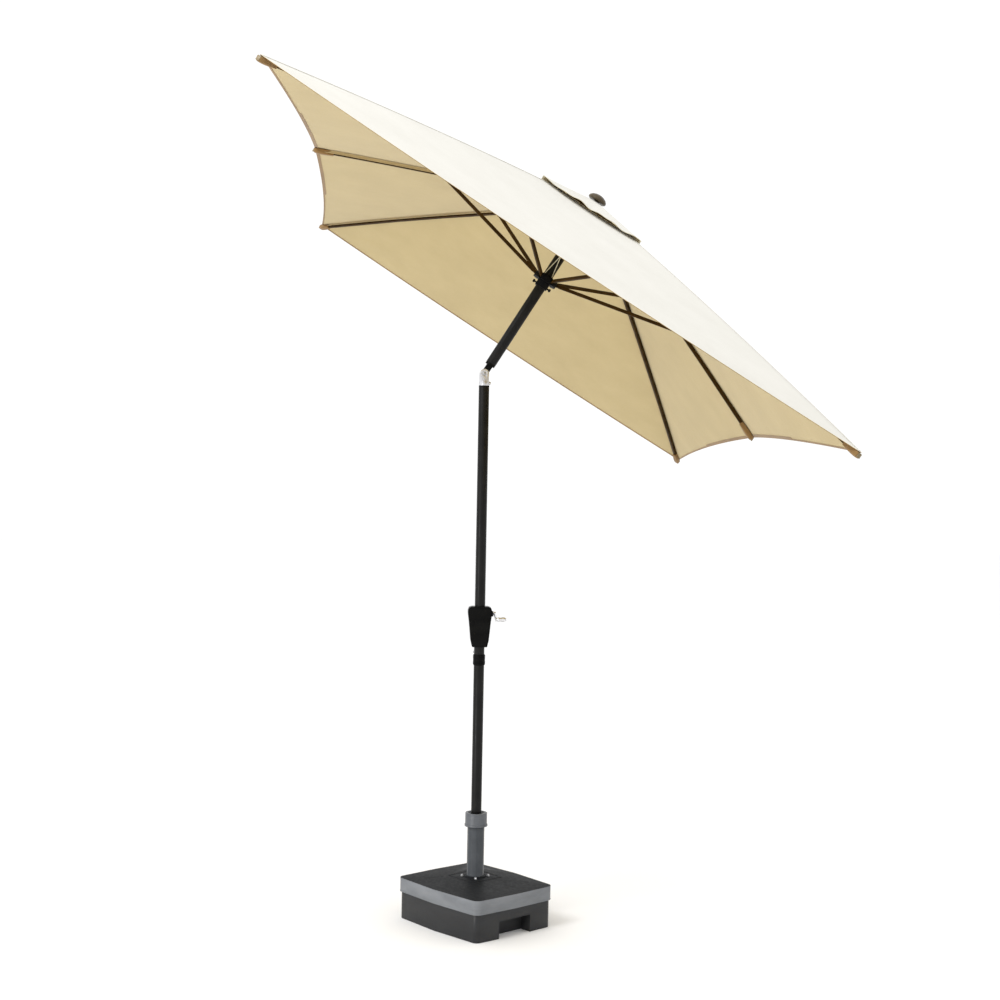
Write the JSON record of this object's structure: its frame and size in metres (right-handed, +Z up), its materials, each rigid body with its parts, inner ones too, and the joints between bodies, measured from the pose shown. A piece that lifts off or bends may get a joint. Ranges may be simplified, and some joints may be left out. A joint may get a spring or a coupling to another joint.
{
  "type": "patio umbrella with base",
  "caption": "Rectangular crank umbrella, open and tilted on a two-part pole, standing in a square fillable base with a clamp collar.",
  "frame": {"origin": "on the floor, on the lower pole's axis, at the middle of the tank's flat underside", "axes": "+Z up along the lower pole, +X the way the canopy leans and the side the crank is on, +Y along the canopy's long side and the tilt axis, away from the viewer"},
  "size_m": [1.6924, 3.0054, 2.8044],
  "materials": {
    "tank": "blow-moulded dark grey polyethylene",
    "water": null,
    "lid": "moulded grey plastic, fine grain",
    "black_plastic": "satin black moulded plastic",
    "socket": "grey powder-coated steel",
    "bolts": "zinc-plated steel",
    "clamp": "grey moulded plastic",
    "pole": "black satin powder coat on steel tube",
    "housing": "black satin plastic",
    "chrome": "polished chrome plate",
    "knuckle": "bright die-cast metal",
    "cord": "braided cream cord",
    "finial": "dark bronze lacquered plastic",
    "cloth": "woven polyester, cream outside, tan inside",
    "rib": "dark brown powder coat on steel bar",
    "tip": "dark moulded plastic"
  },
  "bodies": {
    "base": {"tank": "tank", "ballast": "water", "lid": "lid", "socket_tube": "socket", "socket_bolts": "bolts", "collet": "black_plastic"},
    "filler_cap": {"filler_cap": "black_plastic"},
    "clamp_ring": {"clamp_ring": "clamp"},
    "mast": {"lower_tube": "pole", "coupling_sleeve": "black_plastic", "mast_tube": "pole", "crank_housing": "housing", "housing_screws": "bolts", "knuckle_lower": "knuckle", "tilt_pin": "bolts", "cord_mast": "cord"},
    "snap_button": {"snap_button": "bolts"},
    "crank": {"crank": "chrome", "crank_spool": "bolts"},
    "crank_knob": {"crank_knob": "chrome"},
    "tilt_button": {"tilt_button": "knuckle"},
    "upper_pole": {"knuckle_upper": "housing", "upper_tube": "pole", "cord_upper": "cord", "hub": "black_plastic", "hub_pins": "bolts", "finial": "finial", "vent_cap": "cloth"},
    "pulley": {"pulley": "bolts"},
    "runner": {"runner": "black_plastic", "runner_knobs": "black_plastic", "lift_cord": "cord"},
    "rib_mr": {"rib_mr": "rib", "tip_mr": "tip", "canopy_mr": "cloth"},
    "strut_mr": {"strut_mr": "rib"},
    "rib_fr": {"rib_fr": "rib", "tip_fr": "tip", "canopy_fr": "cloth"},
    "strut_fr": {"strut_fr": "rib"},
    "rib_fl": {"rib_fl": "rib", "tip_fl": "tip", "canopy_fl": "cloth"},
    "strut_fl": {"strut_fl": "rib"},
    "rib_ml": {"rib_ml": "rib", "tip_ml": "tip", "canopy_ml": "cloth"},
    "strut_ml": {"strut_ml": "rib"},
    "rib_nl": {"rib_nl": "rib", "tip_nl": "tip", "canopy_nl": "cloth"},
    "strut_nl": {"strut_nl": "rib"},
    "rib_nr": {"rib_nr": "rib", "tip_nr": "tip", "canopy_nr": "cloth"},
    "strut_nr": {"strut_nr": "rib"}
  },
  "joints": [
    {"name": "filler_turn", "type": "hinge", "parent": "base", "child": "filler_cap", "pos_m": [0, 0.122, 0.16], "axis": [0, 0, 1], "range_deg": [0, 540]},
    {"name": "clamp_turn", "type": "hinge", "parent": "base", "child": "clamp_ring", "pos_m": [0, 0, 0.37], "axis": [0, 0, 1], "range_deg": [0, 270]},
    {"name": "mast_swivel", "type": "hinge", "parent": "base", "child": "mast", "pos_m": [0, 0, 0.2], "axis": [0, 0, 1], "continuous": true},
    {"name": "snap_press", "type": "slide", "parent": "mast", "child": "snap_button", "axis": [1, 0, 0], "range_m": [0, 0.0035], "stiffness_N_per_m": 900, "springref_m": -0.002},
    {"name": "tilt_press", "type": "slide", "parent": "mast", "child": "tilt_button", "axis": [-1, 0, 0], "range_m": [0, 0.004], "stiffness_N_per_m": 1500, "springref_m": -0.003},
    {"name": "tilt", "type": "hinge", "parent": "mast", "child": "upper_pole", "pos_m": [0, 0, 2.001], "axis": [0, 1, 0], "range_deg": [-32, 0], "deforming": ["cord_mast"]},
    {"name": "fold", "type": "slide", "parent": "upper_pole", "child": "runner", "axis": [-0.5299, 0, -0.848], "range_m": [0, 0.3], "deforming": ["lift_cord", "vent_cap", "canopy_mr", "canopy_fr", "canopy_fl", "canopy_ml", "canopy_nl", "canopy_nr"]},
    {"name": "crank_turn", "type": "hinge", "parent": "mast", "child": "crank", "pos_m": [0, 0, 1.128], "axis": [1, 0, 0], "range_deg": [0, 2151.7]},
    {"name": "knob_spin", "type": "hinge", "parent": "crank", "child": "crank_knob", "pos_m": [0.08, -0.10443, 1.11702], "axis": [1, 0, 0], "continuous": true},
    {"name": "pulley_turn", "type": "hinge", "parent": "upper_pole", "child": "pulley", "pos_m": [0.34975, -0.011, 2.56071], "axis": [0.848, 0, -0.5299], "range_deg": [-1528.9, 0]},
    {"name": "rib_mr_fold", "type": "hinge", "parent": "upper_pole", "child": "rib_mr", "pos_m": [0.40433, 0, 2.59146], "axis": [0, 1, 0], "range_deg": [0, 16.4]},
    {"name": "strut_mr_fold", "type": "hinge", "parent": "rib_mr", "child": "strut_mr", "pos_m": [0.69478, 0, 2.17425], "axis": [0, 1, 0], "range_deg": [-39.56, 0]},
    {"name": "rib_fr_fold", "type": "hinge", "parent": "upper_pole", "child": "rib_fr", "pos_m": [0.39276, 0.02515, 2.59869], "axis": [-0.711, 0.545, 0.4443], "range_deg": [0, 19.75]},
    {"name": "strut_fr_fold", "type": "hinge", "parent": "rib_fr", "child": "strut_fr", "pos_m": [0.54702, 0.43326, 2.34497], "axis": [-0.711, 0.545, 0.4443], "range_deg": [-37.79, 0]},
    {"name": "rib_fl_fold", "type": "hinge", "parent": "upper_pole", "child": "rib_fl", "pos_m": [0.36503, 0.02515, 2.61602], "axis": [-0.711, -0.545, 0.4443], "range_deg": [0, 19.75]},
    {"name": "strut_fl_fold", "type": "hinge", "parent": "rib_fl", "child": "strut_fl", "pos_m": [0.06937, 0.43326, 2.64344], "axis": [-0.711, -0.545, 0.4443], "range_deg": [-37.79, 0]},
    {"name": "rib_ml_fold", "type": "hinge", "parent": "upper_pole", "child": "rib_ml", "pos_m": [0.35345, 0, 2.62325], "axis": [0, -1, 0], "range_deg": [0, 16.4]},
    {"name": "strut_ml_fold", "type": "hinge", "parent": "rib_ml", "child": "strut_ml", "pos_m": [-0.14885, 0, 2.70141], "axis": [0, -1, 0], "range_deg": [-39.56, 0]},
    {"name": "rib_nl_fold", "type": "hinge", "parent": "upper_pole", "child": "rib_nl", "pos_m": [0.36503, -0.02515, 2.61602], "axis": [0.711, -0.545, -0.4443], "range_deg": [0, 19.75]},
    {"name": "strut_nl_fold", "type": "hinge", "parent": "rib_nl", "child": "strut_nl", "pos_m": [0.06937, -0.43326, 2.64344], "axis": [0.711, -0.545, -0.4443], "range_deg": [-37.79, 0]},
    {"name": "rib_nr_fold", "type": "hinge", "parent": "upper_pole", "child": "rib_nr", "pos_m": [0.39276, -0.02515, 2.59869], "axis": [0.711, 0.545, -0.4443], "range_deg": [0, 19.75]},
    {"name": "strut_nr_fold", "type": "hinge", "parent": "rib_nr", "child": "strut_nr", "pos_m": [0.54702, -0.43326, 2.34497], "axis": [0.711, 0.545, -0.4443], "range_deg": [-37.79, 0]}
  ],
  "couplings": [
    {"joint": "crank_turn", "follows": "fold", "rad_per_m": 125},
    {"joint": "pulley_turn", "follows": "fold", "rad_per_m": -88.889},
    {"joint": "rib_mr_fold", "follows": "fold", "rad_per_m": 0.95209},
    {"joint": "strut_mr_fold", "follows": "fold", "rad_per_m": -2.2969},
    {"joint": "rib_fr_fold", "follows": "fold", "rad_per_m": 1.1467},
    {"joint": "strut_fr_fold", "follows": "fold", "rad_per_m": -2.1943},
    {"joint": "rib_fl_fold", "follows": "fold", "rad_per_m": 1.1467},
    {"joint": "strut_fl_fold", "follows": "fold", "rad_per_m": -2.1943},
    {"joint": "rib_ml_fold", "follows": "fold", "rad_per_m": 0.95209},
    {"joint": "strut_ml_fold", "follows": "fold", "rad_per_m": -2.2969},
    {"joint": "rib_nl_fold", "follows": "fold", "rad_per_m": 1.1467},
    {"joint": "strut_nl_fold", "follows": "fold", "rad_per_m": -2.1943},
    {"joint": "rib_nr_fold", "follows": "fold", "rad_per_m": 1.1467},
    {"joint": "strut_nr_fold", "follows": "fold", "rad_per_m": -2.1943}
  ]
}
